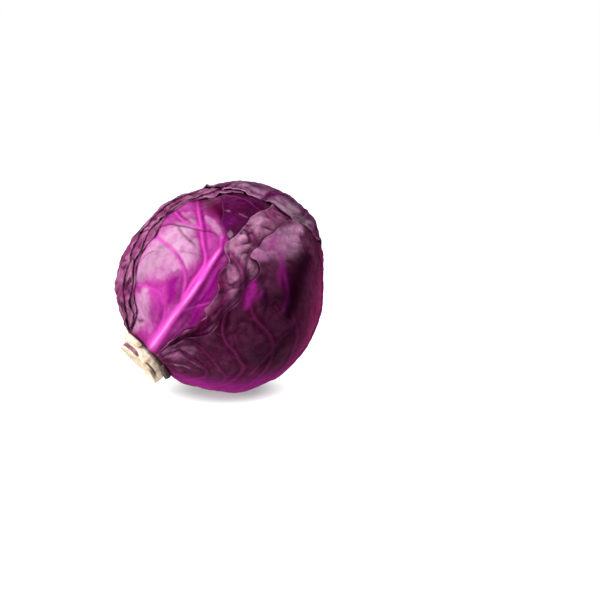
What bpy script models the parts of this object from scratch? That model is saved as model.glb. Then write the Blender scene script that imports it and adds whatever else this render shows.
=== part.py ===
"""A whole red cabbage head, lying on its side with its cut stump low at the left.

Every leaf is a shell of its own that wraps the packed heart. A place on the head is given
by two angles: theta, measured from the stump towards the crown, and lam, the longitude
around the stump's axis, which is 0 on the side that faces the viewer and grows upwards.
"""
import math

import bmesh
import bpy
from mathutils import Matrix, Vector

MM = 0.001

# Driving dimensions of the head, in millimetres and degrees
CENTRE_HEIGHT = 77.3
STEM_BEARING = 206.2
STEM_DIP = 39.5
FRONT_RISE = 12.0
LEAF_THICKNESS = 1.1
LEAF_PITCH = 1.8
OUTER_LAYER = 6
FLOOR_LAYER = 4
GRID_STEP = 12.0
RAIL_STEPS = 12
HEART_RINGS = 20
HEART_SEGMENTS = 32
SHARP_ANGLE = 40.0

# Radius of the outermost leaf layer against theta, from the stump to the crown
HEAD_PROFILE = (
    (0.0, 70.0), (12.0, 76.5), (25.0, 81.0), (50.0, 83.0), (72.0, 82.4),
    (95.0, 80.8), (120.0, 81.4), (145.0, 84.2), (165.0, 88.0), (180.0, 90.0),
)
# The head is fuller below the waist than above it
WAIST_SHIFT = 2.5
WAIST_THETA = 95.0
WAIST_REACH = 35.0

# The stump's outline as radius and distance from the head's centre: a neck, then a wider
# disc that was cut flat. It stands a little off the head's axis.
STUMP_RADIUS = 19.5
STUMP_OUTLINE = (
    (0.0, 61.5), (16.5, 61.5), (16.5, 77.0), (STUMP_RADIUS, 79.5),
    (STUMP_RADIUS, 84.6), (18.2, 86.0), (0.0, 86.0),
)
STUMP_SEGMENTS = 36
STUMP_SHIFT = 2.5
MERGE_MM = 0.01

# The cut bases of leaves that were trimmed off
CUT_BASE_GAP = 0.6
CUT_BASE_STEPS = 10
# A cut base's wall and height at its two ends, as a share of those at its middle
CUT_BASE_END_WALL = 0.35
CUT_BASE_END_HEIGHT = 0.45
HEART_FLAT = 61.0

# Name, layer, colour, then the left margin, the midrib and the right margin from the
# leaf's base to its tip, each as (theta, lam) points
LEAVES = (
    ("leaf_front", 1, (0.60, 0.07, 0.42),
     ((18.2, 62), (28, 78), (52, 86), (80, 88), (112, 86), (136, 62)),
     ((16.4, 10), (50, 8), (80, 10), (100, 14), (131, 22)),
     ((16.4, -12), (45, -36), (80, -40), (110, -30), (133, 0))),
    ("leaf_crown", 2, (0.22, 0.01, 0.17),
     ((16, 182), (60, 152), (100, 127), (124, 95), (131, 73), (127, 55), (121, 42), (110, 28), (105, 17)),
     ((16, 196), (60, 192), (100, 190), (140, 185), (175, 180), (160, -12), (130, -2), (108, 5)),
     ((16, 210), (60, 235), (100, 250), (130, 270), (138, 305), (125, 330), (112, 344), (108, 356))),
    ("leaf_left_inner", 3, (0.20, 0.05, 0.14),
     ((17.6, 150), (60, 182), (100, 185), (140, 165)),
     ((17.6, 108), (60, 122), (100, 124), (143, 113)),
     ((18.4, 82), (27, 60), (38, 54), (50, 57), (63, 62), (76, 60), (89, 64), (101, 67), (114, 68),
      (126, 58), (138, 48))),
    ("leaf_right_inner", 3, (0.22, 0.09, 0.20),
     ((16, -10), (33, -6), (48, -8), (60, -9), (70, -5), (78, -2), (88, 4), (96, 9), (102, 14), (120, 16),
      (141, 19), (160, 35)),
     ((16, -38), (60, -42), (110, -40), (168, -30)),
     ((16, -62), (60, -92), (110, -95), (165, -82))),
    ("leaf_left_middle", 4, (0.20, 0.06, 0.15),
     ((17.2, 160), (60, 195), (100, 199), (142, 182)),
     ((17.2, 124), (60, 135), (100, 138), (146, 128)),
     ((17.2, 100), (26, 63), (38, 59), (50, 58), (61, 65), (79, 67), (95, 66), (114, 70), (126, 68),
      (141, 73))),
    ("leaf_right_outer", 4, (0.07, 0.01, 0.05),
     ((17.2, -18), (24, -9), (33, -9), (47, -13), (59, -18), (69, -15), (83, -14), (97, -12), (104, -5),
      (109, -1), (119, 1), (130, -1), (144, -1)),
     ((17.2, -88), (60, -84), (110, -80), (152, -40)),
     ((17.2, -142), (50, -151), (90, -153), (130, -148), (156, -100))),
    ("leaf_left_outer", 5, (0.22, 0.08, 0.17),
     ((16.6, 180), (55, 206), (100, 211), (130, 190)),
     ((16.6, 140), (60, 147), (100, 148), (134, 138)),
     ((16.6, 100), (36, 68), (56, 68), (76, 74), (104, 75), (118, 80), (130, 92))),
    ("leaf_back", 6, (0.16, 0.02, 0.12),
     ((15.4, 165), (60, 146), (100, 128), (122, 102), (129, 78), (131.5, 61), (137, 48)),
     ((15.4, 184), (60, 180), (100, 178), (140, 176), (172, 170), (168, 40), (152, 34), (143.5, 28)),
     ((15.4, 202), (55, 210), (100, 226), (130, 245), (149, 272), (155, 300), (153, 326), (150.3, 355),
      (147, 12))),
)

# Name, colour, start and end angle round the stump, height range along it and wall at
# the root and at the cut
CUT_BASES = (
    ("cut_base_upper", (0.80, 0.68, 0.52), 22, 108, (76.0, 81.2), (4.6, 3.4)),
    ("cut_base_back", (0.55, 0.38, 0.42), 152, 215, (76.6, 80.5), (4.6, 3.0)),
    ("cut_base_lower", (0.50, 0.36, 0.34), 246, 318, (75.4, 80.0), (4.2, 2.8)),
)
HEART_COLOUR = (0.55, 0.25, 0.50)
STUMP_COLOUR = (0.78, 0.62, 0.42)
LEAF_ROUGHNESS = 0.4
HEART_ROUGHNESS = 0.5
STUMP_ROUGHNESS = 0.8
CUT_BASE_ROUGHNESS = 0.7


def on_bearing(bearing, rise):
    """Unit vector at a compass bearing from +X, raised above the floor."""
    flat = math.cos(math.radians(rise))
    angle = math.radians(bearing)
    return Vector((flat * math.cos(angle), flat * math.sin(angle), math.sin(math.radians(rise))))


STEM = on_bearing(STEM_BEARING, -STEM_DIP)
FACING = on_bearing(270.0, FRONT_RISE)
FRONT = (FACING - FACING.dot(STEM) * STEM).normalized()
UPPER_LEFT = STEM.cross(FRONT)
CENTRE = Vector((0.0, 0.0, CENTRE_HEIGHT))


def clear_scene():
    for thing in list(bpy.data.objects):
        bpy.data.objects.remove(thing, do_unlink=True)


def direction(theta, lam):
    """Unit vector from the head's centre to a place on it."""
    theta = math.radians(theta)
    lam = math.radians(lam)
    across = FRONT * math.cos(lam) + UPPER_LEFT * math.sin(lam)
    return STEM * math.cos(theta) + across * math.sin(theta)


def spline(before, start, end, after, t):
    """Catmull-Rom between start and end, for numbers and vectors alike."""
    a = (end - before) * 0.5
    b = (after - start) * 0.5
    t2 = t * t
    t3 = t2 * t
    return start * (2 * t3 - 3 * t2 + 1) + a * (t3 - 2 * t2 + t) + end * (3 * t2 - 2 * t3) + b * (t3 - t2)


def profile_radius(theta):
    """Radius of the outermost layer, smooth through HEAD_PROFILE."""
    last = len(HEAD_PROFILE) - 1
    index = 0
    while index < last - 1 and theta > HEAD_PROFILE[index + 1][0]:
        index += 1
    low, high = HEAD_PROFILE[index], HEAD_PROFILE[index + 1]
    before = HEAD_PROFILE[max(index - 1, 0)][1]
    after = HEAD_PROFILE[min(index + 2, last)][1]
    t = (theta - low[0]) / (high[0] - low[0])
    return spline(before, low[1], high[1], after, min(max(t, 0.0), 1.0))


def layer_point(way, layer):
    """Point on a leaf layer's outer surface, in millimetres, along a unit vector.

    The lowest layers are flattened where the head's weight presses on the floor.
    """
    theta = math.degrees(math.acos(max(-1.0, min(1.0, way.dot(STEM)))))
    side = way.dot(UPPER_LEFT)
    waist = math.exp(-((theta - WAIST_THETA) / WAIST_REACH) ** 2)
    depth = (OUTER_LAYER - layer) * LEAF_PITCH
    radius = profile_radius(theta) - WAIST_SHIFT * side * waist - depth
    floor = CENTRE_HEIGHT - (FLOOR_LAYER - layer) * LEAF_PITCH
    if way.z < 0 and layer <= FLOOR_LAYER:
        radius = min(radius, floor / -way.z)
    return CENTRE + way * radius


def rail(points, count):
    """Evenly spaced unit vectors along a smooth line through (theta, lam) points."""
    ways = [direction(theta, lam) for theta, lam in points]
    ways = [ways[0] * 2 - ways[1]] + ways + [ways[-1] * 2 - ways[-2]]
    dense = []
    for index in range(1, len(ways) - 2):
        for step in range(RAIL_STEPS):
            dense.append(spline(*ways[index - 1:index + 3], step / RAIL_STEPS).normalized())
    dense.append(ways[-2].normalized())
    run = [0.0]
    for first, second in zip(dense, dense[1:]):
        run.append(run[-1] + first.angle(second))
    even = []
    index = 0
    for step in range(count + 1):
        goal = run[-1] * step / count
        while index < len(run) - 2 and run[index + 1] < goal:
            index += 1
        part = (goal - run[index]) / (run[index + 1] - run[index])
        even.append(dense[index].lerp(dense[index + 1], part).normalized())
    return even, run[-1]


def make_material(name, colour, roughness):
    material = bpy.data.materials.new(name)
    material.use_nodes = True
    shader = material.node_tree.nodes["Principled BSDF"]
    shader.inputs["Base Color"].default_value = (*colour, 1.0)
    shader.inputs["Roughness"].default_value = roughness
    shader.inputs["Metallic"].default_value = 0.0
    return material


def make_object(name, bm, colour, roughness):
    mesh = bpy.data.meshes.new(name)
    bm.to_mesh(mesh)
    bm.free()
    thing = bpy.data.objects.new(name, mesh)
    bpy.context.scene.collection.objects.link(thing)
    mesh.materials.append(make_material(name, colour, roughness))
    mesh.shade_smooth()
    mesh.set_sharp_from_angle(angle=math.radians(SHARP_ANGLE))
    return thing


def leaf(name, layer, colour, left, middle, right):
    """One leaf: a grid wrapped on its layer, given its thickness inwards."""
    length = max(rail(points, 1)[1] for points in (left, middle, right))
    radius = sum(radius for theta, radius in HEAD_PROFILE) / len(HEAD_PROFILE)
    rows = round(length * radius / GRID_STEP)
    left = rail(left, rows)[0]
    middle = rail(middle, rows)[0]
    right = rail(right, rows)[0]
    widths = [a.angle(b) + b.angle(c) for a, b, c in zip(left, middle, right)]
    half = max(2, round(max(widths) * radius / GRID_STEP / 2))
    bm = bmesh.new()
    bmesh.ops.create_grid(bm, x_segments=2 * half, y_segments=rows, size=1.0)
    for vertex in bm.verts:
        across = (vertex.co.x + 1) * half
        row = round((vertex.co.y + 1) / 2 * rows)
        if across <= half:
            way = left[row].slerp(middle[row], across / half)
        else:
            way = middle[row].slerp(right[row], across / half - 1)
        vertex.co = layer_point(way, layer) * MM
    bm.normal_update()
    bm.faces.ensure_lookup_table()
    sample = bm.faces[len(bm.faces) // 2]
    if sample.normal.dot(sample.calc_center_median() - CENTRE * MM) < 0:
        bmesh.ops.reverse_faces(bm, faces=bm.faces)
    thing = make_object(name, bm, colour, LEAF_ROUGHNESS)
    shell = thing.modifiers.new("thickness", "SOLIDIFY")
    shell.thickness = LEAF_THICKNESS * MM
    shell.offset = -1.0


def heart():
    """The tightly packed inner head, as one solid ball, flat where the stump grows out."""
    bm = bmesh.new()
    bmesh.ops.create_uvsphere(bm, u_segments=HEART_SEGMENTS, v_segments=HEART_RINGS, radius=1.0)
    turn = Vector((0, 0, 1)).rotation_difference(STEM)
    for vertex in bm.verts:
        way = (turn @ vertex.co).normalized()
        point = layer_point(way, 0) - CENTRE
        reach = point.dot(STEM)
        if reach > HEART_FLAT:
            point *= HEART_FLAT / reach
        vertex.co = (CENTRE + point) * MM
    make_object("heart", bm, HEART_COLOUR, HEART_ROUGHNESS)


def stem_frame():
    """Matrix from stump coordinates, whose +Z is the stump's axis, to the world."""
    turn = Matrix((FRONT, UPPER_LEFT, STEM)).transposed().to_4x4()
    return Matrix.Translation((CENTRE + UPPER_LEFT * STUMP_SHIFT) * MM) @ turn


def stump():
    """The woody stump: its outline turned round its axis."""
    bm = bmesh.new()
    corners = [bm.verts.new((radius * MM, 0, height * MM)) for radius, height in STUMP_OUTLINE]
    edges = [bm.edges.new(pair) for pair in zip(corners, corners[1:])]
    bmesh.ops.spin(
        bm, geom=corners + edges, axis=(0, 0, 1), cent=(0, 0, 0),
        angle=2 * math.pi, steps=STUMP_SEGMENTS, use_merge=True,
    )
    bmesh.ops.remove_doubles(bm, verts=bm.verts, dist=MERGE_MM * MM)
    bmesh.ops.recalc_face_normals(bm, faces=bm.faces)
    thing = make_object("stump", bm, STUMP_COLOUR, STUMP_ROUGHNESS)
    thing.matrix_world = stem_frame()


def cut_base(name, colour, start, end, heights, walls):
    """The stub of a trimmed leaf: a wedge bent round the stump, thin at its cut."""
    bm = bmesh.new()
    bmesh.ops.create_cube(bm, size=1.0)
    long_edges = [edge for edge in bm.edges if abs(edge.verts[0].co.x - edge.verts[1].co.x) > 0.5]
    bmesh.ops.subdivide_edges(bm, edges=long_edges, cuts=CUT_BASE_STEPS - 1, use_grid_fill=True)
    inner = STUMP_RADIUS + CUT_BASE_GAP
    for vertex in bm.verts:
        along, out, up = vertex.co + Vector((0.5, 0.5, 0.5))
        angle = math.radians(start + (end - start) * along)
        fullness = max(0.0, math.sin(math.pi * along)) ** 0.5
        wall = (walls[0] * (1 - up) + walls[1] * up) * (CUT_BASE_END_WALL * (1 - fullness) + fullness)
        rise = (heights[1] - heights[0]) * (CUT_BASE_END_HEIGHT * (1 - fullness) + fullness)
        height = heights[0] + rise * up
        radius = inner + wall * out
        vertex.co = Vector((radius * math.cos(angle), radius * math.sin(angle), height)) * MM
    bmesh.ops.reverse_faces(bm, faces=bm.faces)
    thing = make_object(name, bm, colour, CUT_BASE_ROUGHNESS)
    thing.matrix_world = stem_frame()


clear_scene()
heart()
stump()
for details in LEAVES:
    leaf(*details)
for details in CUT_BASES:
    cut_base(*details)
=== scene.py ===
import math

import bpy
import numpy as np
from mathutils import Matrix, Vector
from mathutils.bvhtree import BVHTree


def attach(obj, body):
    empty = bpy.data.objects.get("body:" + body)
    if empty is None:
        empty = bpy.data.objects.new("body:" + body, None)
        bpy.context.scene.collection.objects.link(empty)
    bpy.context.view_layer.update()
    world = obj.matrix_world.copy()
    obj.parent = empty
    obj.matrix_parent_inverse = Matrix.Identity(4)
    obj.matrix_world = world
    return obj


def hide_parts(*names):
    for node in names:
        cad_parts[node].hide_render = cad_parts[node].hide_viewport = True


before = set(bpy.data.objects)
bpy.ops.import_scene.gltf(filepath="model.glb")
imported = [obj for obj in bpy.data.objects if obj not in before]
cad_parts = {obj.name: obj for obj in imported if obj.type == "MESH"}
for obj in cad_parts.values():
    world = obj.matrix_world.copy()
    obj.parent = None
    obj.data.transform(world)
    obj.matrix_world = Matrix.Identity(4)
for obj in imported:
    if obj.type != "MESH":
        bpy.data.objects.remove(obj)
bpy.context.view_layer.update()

MM = 0.001

# The head's own frame, as the solids have it
CENTRE_HEIGHT = 77.3
STEM_BEARING = 206.2
STEM_DIP = 39.5
FRONT_RISE = 12.0
LEAF_PITCH = 1.8
OUTER_LAYER = 6
FLOOR_LAYER = 4
HEAD_PROFILE = (
    (0.0, 70.0), (12.0, 76.5), (25.0, 81.0), (50.0, 83.0), (72.0, 82.4),
    (95.0, 80.8), (120.0, 81.4), (145.0, 84.2), (165.0, 88.0), (180.0, 90.0),
)
WAIST_SHIFT = 2.5
WAIST_THETA = 95.0
WAIST_REACH = 35.0
MEAN_RADIUS = 78.0

# Leaf blades
BLADE = 0.9
SPACING = 1.3
RAIL_STEPS = 24
FLOOR_CLEAR = 0.02
OUTLINE_POINTS = 60
LINE_STEPS = 8
WAVES = 20

# The stump
STUMP_RADIUS = 19.5
NECK_RADIUS = 16.6
STUMP_SHIFT = 2.5
STUMP_FOOT = 61.5
STUMP_TOP = 86.0
STUMP_GRID = (192, 120)
STUMP_FACE = (84.8, 85.9)
STUMP_WALL = (76.5, 79.0)

# The floor, in metres: its size and place, and how much it glows near the head, as the camera
# sees it and as it lights the head
FLOOR_RADIUS = 30
FLOOR_DROP = 0.00005
FLOOR_GLOW = 0.36
SHADOW_SHIFT = (-0.004, 0.013, 0.0)
SHADOW_REACH = (0.020, 0.058)
FLOOR_BOUNCE = 0.8
BOUNCE_REACH = (0.05, 0.16)

# The camera: the photograph's frame is 600 pixels wide, and the head's centre is here in it
FRAME_PIXELS = 600
HEAD_PIXEL = (221.5, 287.4)
MM_PER_PIXEL = 0.768
LENS = 85.0
SENSOR = 36.0


def on_bearing(bearing, rise):
    """Unit vector at a compass bearing from +X, raised above the floor."""
    bearing, rise = math.radians(bearing), math.radians(rise)
    flat = math.cos(rise)
    return np.array((flat * math.cos(bearing), flat * math.sin(bearing), math.sin(rise)))


def unit(vectors):
    return vectors / np.linalg.norm(vectors, axis=-1, keepdims=True)


STEM = on_bearing(STEM_BEARING, -STEM_DIP)
FACING = on_bearing(270.0, FRONT_RISE)
FRONT = unit(FACING - FACING.dot(STEM) * STEM)
UPPER_LEFT = np.cross(STEM, FRONT)
CENTRE = np.array((0.0, 0.0, CENTRE_HEIGHT))


def direction(theta, lam):
    """Unit vectors for theta, from the stump, and lam, the longitude round the stump's axis."""
    theta = np.radians(np.asarray(theta, float))[..., None]
    lam = np.radians(np.asarray(lam, float))[..., None]
    return STEM * np.cos(theta) + (FRONT * np.cos(lam) + UPPER_LEFT * np.sin(lam)) * np.sin(theta)


def smooth_step(low, high, x):
    t = np.clip((x - low) / (high - low), 0.0, 1.0)
    return t * t * (3 - 2 * t)


def hump(x, width, power=2):
    """One at zero, falling away on both sides past the width."""
    return np.exp(-np.abs(x / width) ** power)


def cubic(t, start, end, leave, arrive):
    """Smooth run from start to end, with the slopes leave and arrive."""
    return (start * (2 * t**3 - 3 * t**2 + 1) + leave * (t**3 - 2 * t**2 + t)
            + end * (3 * t**2 - 2 * t**3) + arrive * (t**3 - t**2))


def curve_through(points, steps):
    """Smooth curve through the rows of an array."""
    points = np.asarray(points, float)
    padded = np.vstack((2 * points[0] - points[1], points, 2 * points[-1] - points[-2]))
    t = (np.arange(steps) / steps)[:, None]
    runs = []
    for before, start, end, after in zip(padded, padded[1:], padded[2:], padded[3:]):
        runs.append(cubic(t, start, end, (end - before) / 2, (after - start) / 2))
    return np.vstack(runs + [points[-1]])


def profile_table():
    """Radius of the outermost layer against theta, with the same curve as the solids."""
    values = [radius for theta, radius in HEAD_PROFILE]
    thetas, radii = [], []
    for index, (low, high) in enumerate(zip(HEAD_PROFILE, HEAD_PROFILE[1:])):
        leave = (high[1] - values[max(index - 1, 0)]) / 2
        arrive = (values[min(index + 2, len(values) - 1)] - low[1]) / 2
        t = np.linspace(0, 1, RAIL_STEPS)
        thetas.append(low[0] + (high[0] - low[0]) * t)
        radii.append(cubic(t, low[1], high[1], leave, arrive))
    return np.concatenate(thetas), np.concatenate(radii)


PROFILE = profile_table()


def layer_radius(ways, layer):
    """Radius of a layer's outer surface, in the same shape as the solids."""
    theta = np.degrees(np.arccos(np.clip(ways @ STEM, -1, 1)))
    waist = hump(theta - WAIST_THETA, WAIST_REACH)
    depth = (OUTER_LAYER - layer) * LEAF_PITCH
    radius = np.interp(theta, *PROFILE) - WAIST_SHIFT * (ways @ UPPER_LEFT) * waist - depth
    if layer <= FLOOR_LAYER:
        floor = CENTRE_HEIGHT - (FLOOR_LAYER - layer) * LEAF_PITCH
        radius = np.minimum(radius, floor / np.maximum(-ways[..., 2], 1e-6))
    return radius


def ripple(points, wavelength, seed):
    """Smooth noise of about unit height: a sum of sine waves in seeded directions."""
    random = np.random.default_rng(seed)
    ways = unit(random.normal(size=(WAVES, 3)))
    ways *= 2 * math.pi / wavelength * random.uniform(0.7, 1.35, (WAVES, 1))
    phases = random.uniform(0, 2 * math.pi, WAVES)
    return np.cos(points @ ways.T + phases).sum(-1) / math.sqrt(WAVES / 2)


def cells(points, spacing, seed):
    """Distance to the nearest cell wall and a random value for each cell, for blisters."""
    random = np.random.default_rng(seed)
    count = int(4 * math.pi * MEAN_RADIUS**2 / spacing**2)
    index = np.arange(count) + 0.5
    polar = np.arccos(1 - 2 * index / count)
    turn = math.pi * (1 + 5**0.5) * index
    seeds = np.stack((np.cos(turn) * np.sin(polar), np.sin(turn) * np.sin(polar), np.cos(polar)), -1)
    seeds = unit(seeds * MEAN_RADIUS + random.normal(size=seeds.shape) * spacing * 0.45)
    values = random.uniform(0, 1, count)
    warp = np.stack([ripple(points, spacing * 1.9, seed + k) for k in (1, 2, 3)], -1)
    ways = unit(points + warp * spacing * 0.30)
    nearness = ways @ seeds.T
    nearest = np.argmax(nearness, axis=-1)
    first = np.take_along_axis(nearness, nearest[:, None], -1)[:, 0]
    np.put_along_axis(nearness, nearest[:, None], -1.0, -1)
    second = nearness.max(-1)
    gap = np.arccos(np.clip(second, -1, 1)) - np.arccos(np.clip(first, -1, 1))
    return gap * MEAN_RADIUS / 2, values[nearest]


def distance_to_line(points, line):
    """Distance from each point to a line of straight runs, and how far along it that place is."""
    best = np.full(len(points), 1e9)
    share = np.zeros(len(points))
    lengths = np.linalg.norm(np.diff(line, axis=0), axis=1)
    run = np.concatenate(((0.0,), np.cumsum(lengths)))
    for index, length in enumerate(lengths):
        if length < 1e-6:
            continue
        step = line[index + 1] - line[index]
        offset = points - line[index]
        t = np.clip(offset @ step / length**2, 0, 1)
        gap = np.linalg.norm(offset - t[:, None] * step, axis=1)
        nearer = gap < best
        best[nearer] = gap[nearer]
        share[nearer] = (run[index] + t[nearer] * length) / run[-1]
    return best, share


class Blade:
    """The grid that a leaf's mesh follows: a unit vector for each of its places."""

    def __init__(self, left, middle, right, spacing):
        rails = [line_on_head(rail, RAIL_STEPS) / MEAN_RADIUS for rail in (left, middle, right)]
        lengths = [np.linalg.norm(np.diff(rail, axis=0), axis=1).sum() for rail in rails]
        self.rows = int(max(lengths) * MEAN_RADIUS / spacing)
        self.left, self.middle, self.right = (self.resample(rail, self.rows) for rail in rails)
        widths = (np.arccos(np.clip((self.left * self.middle).sum(-1), -1, 1)).max(),
                  np.arccos(np.clip((self.right * self.middle).sum(-1), -1, 1)).max())
        self.half = int(max(widths) * MEAN_RADIUS / spacing)
        share = np.linspace(0, 1, self.half + 1)
        # the columns lie closer together at the midrib and near the margins
        share = share - 0.07 * np.sin(2 * math.pi * share)
        signed = np.concatenate((-share[::-1], share[1:]))
        tall = np.linspace(0, 1, self.rows + 1)
        self.across, self.along = np.meshgrid(signed, tall)
        self.ways = self.at(self.across, self.along)

    @staticmethod
    def resample(line, count):
        run = np.concatenate(((0.0,), np.cumsum(np.linalg.norm(np.diff(line, axis=0), axis=1))))
        goals = np.linspace(0, run[-1], count + 1)
        return unit(np.stack([np.interp(goals, run, line[:, k]) for k in range(3)], -1))

    def at(self, across, along):
        """Unit vectors at across, from -1 at the left margin to 1 at the right, and along."""
        across, along = np.broadcast_arrays(np.asarray(across, float), np.asarray(along, float))
        row = np.clip(along, 0, 1) * self.rows
        low = np.minimum(row.astype(int), self.rows - 1)
        part = (row - low)[..., None]
        middle = unit(self.middle[low] * (1 - part) + self.middle[low + 1] * part)
        sides = np.where((across < 0)[..., None], self.left[low], self.right[low])
        upper = np.where((across < 0)[..., None], self.left[low + 1], self.right[low + 1])
        side = unit(sides * (1 - part) + upper * part)
        angle = np.arccos(np.clip((middle * side).sum(-1), -1, 1))[..., None]
        share = np.abs(across)[..., None]
        return unit(
            (np.sin((1 - share) * angle) * middle + np.sin(share * angle) * side) / np.sin(angle)
        )

    def outline(self):
        """Points round the blade's edge, for telling what it covers."""
        every = max(1, self.rows // OUTLINE_POINTS)
        return np.vstack((self.left[::every], self.ways[-1, ::every], self.right[::-1][::every],
                          self.ways[0, ::-1][::every]))


def depth_inside(ways, edge, pole):
    """Distance in millimetres from an outline, positive on the pole's side of it."""
    closed = np.vstack((edge, edge[:1]))
    gap, _ = distance_to_line(ways * MEAN_RADIUS, closed * MEAN_RADIUS)
    east = unit(np.cross(pole, STEM + 0.3 * FRONT))
    north = np.cross(pole, east)

    def flat(vectors):
        scale = 1.0 / np.maximum(1.0 + vectors @ pole, 1e-3)
        return np.stack((vectors @ east * scale, vectors @ north * scale), -1)

    points, ring = flat(ways), flat(closed)
    inside = np.zeros(len(points), bool)
    for (x0, y0), (x1, y1) in zip(ring, ring[1:]):
        if y0 == y1:
            continue
        between = (y0 > points[:, 1]) != (y1 > points[:, 1])
        inside ^= between & (points[:, 0] < x0 + (points[:, 1] - y0) * (x1 - x0) / (y1 - y0))
    return np.where(inside, gap, -gap)


def line_on_head(points, steps=LINE_STEPS):
    """A smooth line through (theta, lam) points, on a sphere of the mean radius."""
    return unit(curve_through(direction(*np.array(points, float).T), steps)) * MEAN_RADIUS


# What every leaf has unless it says otherwise
COMMON = dict(
    spacing=SPACING, finish="mauve", pairs=0, rib_end=0.97, flank=1.0, crest=0.0, hug=0.0, cord=2.0,
    taper=0.5, twigs=0.35, rim=0.5, creased=0.6, edge=1.3, edge_shade=0.45, haze=0.4, veins=(),
    bold=(), creases=(), ridges=(), gloom=(), sheen=(), glow=(), ember=(),
)

LEAVES = {}


def describe(name, **details):
    """Each leaf: its layer, its material, the rails of its left margin, midrib and right margin
    as (theta, lam) points from base to tip, its relief in millimetres, and its marks. A mark or
    a crease is a line of such points with its reach or depth, and its strength or width."""
    LEAVES[name] = {**COMMON, **details}


describe(
    "leaf_front",
    layer=1, finish="bright", seed=11, spacing=0.9, rib=(7.4, 2.6, 3.9, 1.5), rib_end=0.74, attach=79.0,
    vein=0.85, cord=1.9, taper=0.3, puff=1.5, blister=(16, 0.2), crinkle=0.07, ruffle=0.0, curl=0.0,
    # the last value on the next line is the strength of a highlight painted along the midrib's lit side
    wander=(0.5, 0.5), wrinkle=0.2, rim=0.0, haze=0.2, twigs=0.15, flank=0.5, crest=0.75,
    bold=(0.55, 0.9, 0.45, 0.6, 0.4, 0.5),
    left=((14.2, 82), (28, 82), (52, 86), (80, 88), (112, 86), (138, 62)),
    middle=((14.2, 8), (26, 6.0), (42, 5.7), (56, 6.0), (66, 6.8), (74, 8.0), (84, 10.6), (93, 12.6),
        (104, 15), (132, 20)),
    right=((14.2, -14), (30, -24), (45, -36), (80, -40), (110, -30), (133, 0)),
    veins=(
        ((60, 10), (65.4, 14), (70, 17.8), (73.8, 23.5), (76, 29.7), (77.6, 37.9), (78.2, 49.3),
            (80.2, 68.6)),
        ((62, 10), (72, 12), (77.6, 12.5), (83.9, 14.6), (88.7, 19.5), (92.6, 26.1), (98.8, 34),
            (104.3, 43.5), (111.3, 57.3), (116.8, 70.8)),
        ((26, 8), (32, 13), (41, 13.5), (48.6, 15.6), (51.9, 20.3), (52.8, 25.9), (52.5, 32.5), (50, 45),
            (47, 58)),
        ((97, 33), (98.4, 36.4), (96.7, 43.3), (96.3, 51.1), (98.2, 63.2), (99.5, 72.4)),
        ((56, 4), (64, -1), (72, -6), (78, -12)),
        ((102.6, 20.2), (97, 15), (92, 13.5)),
    ),
    creases=(
        (((83, 64), (87, 59), (90, 54.5), (91.5, 49), (93.6, 44), (95.5, 39), (98, 33), (100.6, 28.6),
            (102.9, 20.8)), 1.2, 1.0),
        (((91.5, 48.5), (89.3, 41), (88.6, 34), (88.2, 29), (87.6, 25)), 0.8, 1.0),
        (((100.2, 65.2), (98.5, 54.8), (98.3, 47.1), (98.9, 42.2)), 0.8, 1.0),
        (((62, 58), (67, 54), (70, 50.5), (72.6, 45)), 0.8, 1.0),
        (((77.9, 35.4), (76.5, 29.7), (75, 24.1), (72.3, 18.2)), 0.7, 0.9),
        (((78.5, 35.3), (81, 29.8), (83.5, 24.1), (85.9, 18.4)), 0.4, 0.8),
        (((116.6, 64.3), (109, 47), (103.6, 37.6), (99, 30.1), (94.4, 24), (89.2, 18.8)), 0.6, 1.0),
        (((47.7, 13.6), (50.8, 16.7), (52.2, 20.6), (52.4, 23.9)), 0.6, 1.0),
        (((22.3, -4), (38.5, -4), (50.4, -3), (59.8, -0.5), (69.1, 3), (79, 5.5), (90, 7.5)), 0.3, 1.4),
        (((25.3, 57.9), (25.3, 49.6), (27.8, 40.7)), 1.2, 1.5),
        (((60, 47), (64, 38), (66, 30)), 0.4, 1.2),
    ),
    glow=(
        (((53, 16), (58.2, 18.1), (62, 21.5), (66.3, 21.4)), 6, 1.0),
        (((51.9, -5.9), (56, -5.5), (61.1, -2.5), (66.6, -0.8), (72.7, -0.1), (78.1, 2.3), (86, 5)), 5,
            1.0),
        (((40, 16), (46, 18), (50, 24)), 3, 0.6),
        (((90, 10), (97, 14), (101, 18)), 3.0, 0.7),
    ),
    # painted shade: the leaf's top, dark crimson where little light reaches it
    ember=((((113, 28), (116, 40), (118, 50), (120, 62), (122, 80)), 13, 1.0),),
    # painted shade: the mid-left panel, darker where the left light falls off
    gloom=((((52, 54), (64, 46), (76, 46)), 13, 0.3),),
    # painted highlights, where the left softbox shines on the leaf
    sheen=(
        (((56, 52), (68, 46), (82, 42), (96, 42)), 24, 1.0),
        (((70, 28), (80, 27), (90, 29)), 11, 0.9),
        (((20, 70), (27, 56), (35, 44), (43, 39), (48, 40)), 14, 0.9),
        (((100, 58), (103, 44)), 5, 0.4),
        (((60, 34), (66, 29)), 5, 0.7),
        (((24, 26), (32, 26)), 5, 0.4),
        (((107, 40), (105.6, 30), (102.6, 20)), 3.6, 0.8),
        (((18, 70), (22, 60)), 5, 0.8),
    ),
)

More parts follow.
